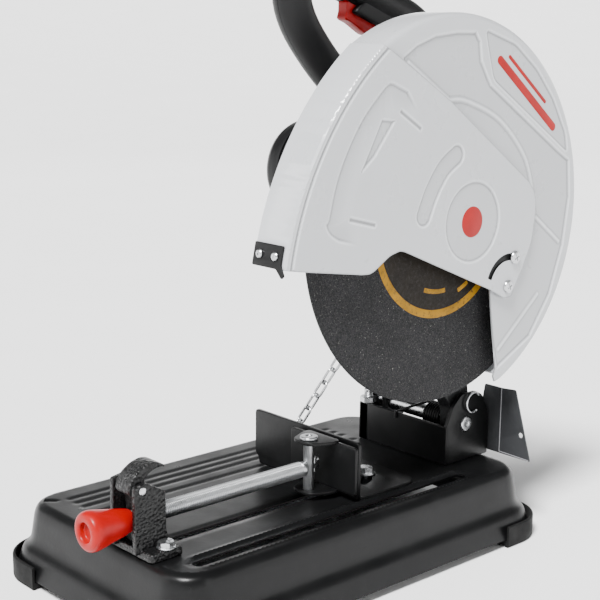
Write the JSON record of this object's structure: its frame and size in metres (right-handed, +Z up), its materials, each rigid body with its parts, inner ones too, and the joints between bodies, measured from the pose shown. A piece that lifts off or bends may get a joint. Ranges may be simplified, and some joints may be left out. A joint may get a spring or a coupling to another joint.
{
  "type": "abrasive chop saw",
  "caption": "Bench cut-off saw: abrasive wheel in a swinging guarded head over a pressed steel base with a quick vise, angled fence and D handle.",
  "frame": {"origin": "middle of the overall footprint, on the surface the feet stand on", "axes": "+X towards the wheel side, -Y towards the operator and the vise handle, +Z up"},
  "size_m": [0.298, 0.5642, 0.5901],
  "materials": {
    "white_paint": "gloss white powder coat on pressed sheet",
    "black_paint": "semi-gloss black powder coat on pressed steel",
    "cast_black": "black paint on a sand casting, lightly pitted",
    "cast_aluminium": "dark grey die casting",
    "black_plastic": "fine grained moulded plastic",
    "red_plastic": "glossy moulded plastic",
    "rubber": "matt moulded rubber",
    "zinc_steel": "bright zinc plating",
    "steel": "machined steel",
    "abrasive": "coarse abrasive grain in resin, glass fibre net inside",
    "copper": "enamelled copper windings on stacked laminations"
  },
  "bodies": {
    "base": {"base_pan": "black_paint", "foot_front_left": "rubber", "foot_front_right": "rubber", "foot_rear_left": "rubber", "foot_rear_right": "rubber", "vise_bracket": "cast_black", "bracket_bolt_left": "zinc_steel", "bracket_bolt_right": "zinc_steel", "nut_lever_pin": "zinc_steel", "fence_pivot_bolt": "zinc_steel", "fence_lock_bolt": "zinc_steel", "pivot_bracket": "black_paint", "pivot_shaft": "zinc_steel", "stop_nut": "zinc_steel", "spark_guard": "black_paint", "lock_hook": "zinc_steel", "return_spring": "black_paint"},
    "head": {"gear_housing": "cast_aluminium", "bearing_plate": "cast_aluminium", "motor_housing": "black_plastic", "motor_end_cover": "black_plastic", "stator": "steel", "brush_holder_front": "black_plastic", "brush_holder_rear": "black_plastic", "handle_shell_left": "black_plastic", "handle_shell_right": "black_plastic", "switch": "black_plastic", "blade_case": "white_paint", "cord_gland": "rubber", "cover_pivot_screw": "zinc_steel", "cover_slot_screw": "zinc_steel", "spindle_bearing_front": "steel", "spindle_bearing_rear": "steel", "armature_bearing_front": "steel", "armature_bearing_rear": "steel"},
    "cover": {"guard_cover": "white_paint", "deflector_plate": "black_paint", "deflector_screw_left": "zinc_steel", "deflector_screw_right": "zinc_steel"},
    "spindle_group": {"spindle": "steel", "driven_gear": "steel", "inner_flange": "steel", "abrasive_disc": "abrasive", "outer_flange": "steel", "disc_bolt": "zinc_steel"},
    "armature": {"armature_shaft": "steel", "armature_core": "copper", "cooling_fan": "black_plastic"},
    "trigger_group": {"trigger": "red_plastic"},
    "lock_group": {"spindle_lock": "black_plastic"},
    "chain_top": {"chain_upper": "zinc_steel"},
    "chain_foot": {"chain_lower": "zinc_steel"},
    "stop": {"stop_bolt": "zinc_steel"},
    "fence_group": {"fence": "black_paint"},
    "lever_group": {"nut_lever": "cast_black"},
    "slide_group": {"jaw_pin": "zinc_steel"},
    "screw_group": {"vise_screw": "zinc_steel", "vise_handle": "red_plastic", "cotter_pin": "zinc_steel"},
    "jaw_group": {"vise_jaw": "black_paint"}
  },
  "joints": [
    {"name": "head_pivot", "type": "hinge", "parent": "base", "child": "head", "pos_m": [0, 0.1739, 0.112], "axis": [1, 0, 0], "range_deg": [0, 38], "stiffness_Nm_per_rad": 15, "springref_deg": -57.3, "deforming": ["return_spring", "chain_lower", "chain_upper"]},
    {"name": "disc_spin", "type": "hinge", "parent": "head", "child": "spindle_group", "pos_m": [0.102, 0.0915, 0.3382], "axis": [1, 0, 0], "continuous": true},
    {"name": "armature_spin", "type": "hinge", "parent": "head", "child": "armature", "pos_m": [0, 0.1069, 0.3706], "axis": [1, 0, 0], "continuous": true},
    {"name": "cover_swing", "type": "hinge", "parent": "head", "child": "cover", "pos_m": [0.121, 0.1708, 0.2677], "axis": [1, 0, 0], "range_deg": [-80, 0]},
    {"name": "trigger_pull", "type": "hinge", "parent": "head", "child": "trigger_group", "pos_m": [0, 0.0584, 0.5425], "axis": [1, 0, 0], "range_deg": [0, 8], "stiffness_Nm_per_rad": 0.5, "springref_deg": -8.59},
    {"name": "spindle_lock_press", "type": "slide", "parent": "head", "child": "lock_group", "axis": [0, 1, 0], "range_m": [0, 0.004], "stiffness_N_per_m": 400, "springref_m": -0.003},
    {"name": "chain_top_pivot", "type": "hinge", "parent": "head", "child": "chain_top", "pos_m": [-0.03, 0.1239, 0.215], "axis": [1, 0, 0], "range_deg": [-1, 33]},
    {"name": "chain_foot_pivot", "type": "hinge", "parent": "base", "child": "chain_foot", "pos_m": [-0.074, 0.0489, 0.0765], "axis": [1, 0, 0], "range_deg": [-43, 1]},
    {"name": "stop_screw", "type": "slide", "parent": "base", "child": "stop", "axis": [0, 0, 1], "range_m": [-0.009, 0]},
    {"name": "fence_swivel", "type": "hinge", "parent": "base", "child": "fence_group", "pos_m": [0.03, 0.0259, 0.072], "axis": [0, 0, 1], "range_deg": [0, 45]},
    {"name": "nut_lift", "type": "hinge", "parent": "base", "child": "lever_group", "pos_m": [0.046, -0.2351, 0.133], "axis": [1, 0, 0], "range_deg": [0, 55]},
    {"name": "vise_travel", "type": "slide", "parent": "base", "child": "slide_group", "axis": [0, 1, 0], "range_m": [-0.15, 0]},
    {"name": "screw_turn", "type": "hinge", "parent": "slide_group", "child": "screw_group", "pos_m": [0.046, -0.0261, 0.102], "axis": [0, 1, 0], "range_deg": [-13500, 0]},
    {"name": "jaw_swivel", "type": "hinge", "parent": "slide_group", "child": "jaw_group", "pos_m": [0.046, -0.0261, 0.102], "axis": [0, 0, 1], "range_deg": [0, 45]}
  ],
  "couplings": [
    {"joint": "armature_spin", "follows": "disc_spin", "ratio": -4},
    {"joint": "chain_top_pivot", "follows": "head_pivot", "ratio": 0.8336},
    {"joint": "chain_foot_pivot", "follows": "head_pivot", "ratio": -1.0993},
    {"joint": "screw_turn", "follows": "vise_travel", "rad_per_m": 1570.8},
    {"joint": "jaw_swivel", "follows": "fence_swivel", "ratio": 1}
  ]
}
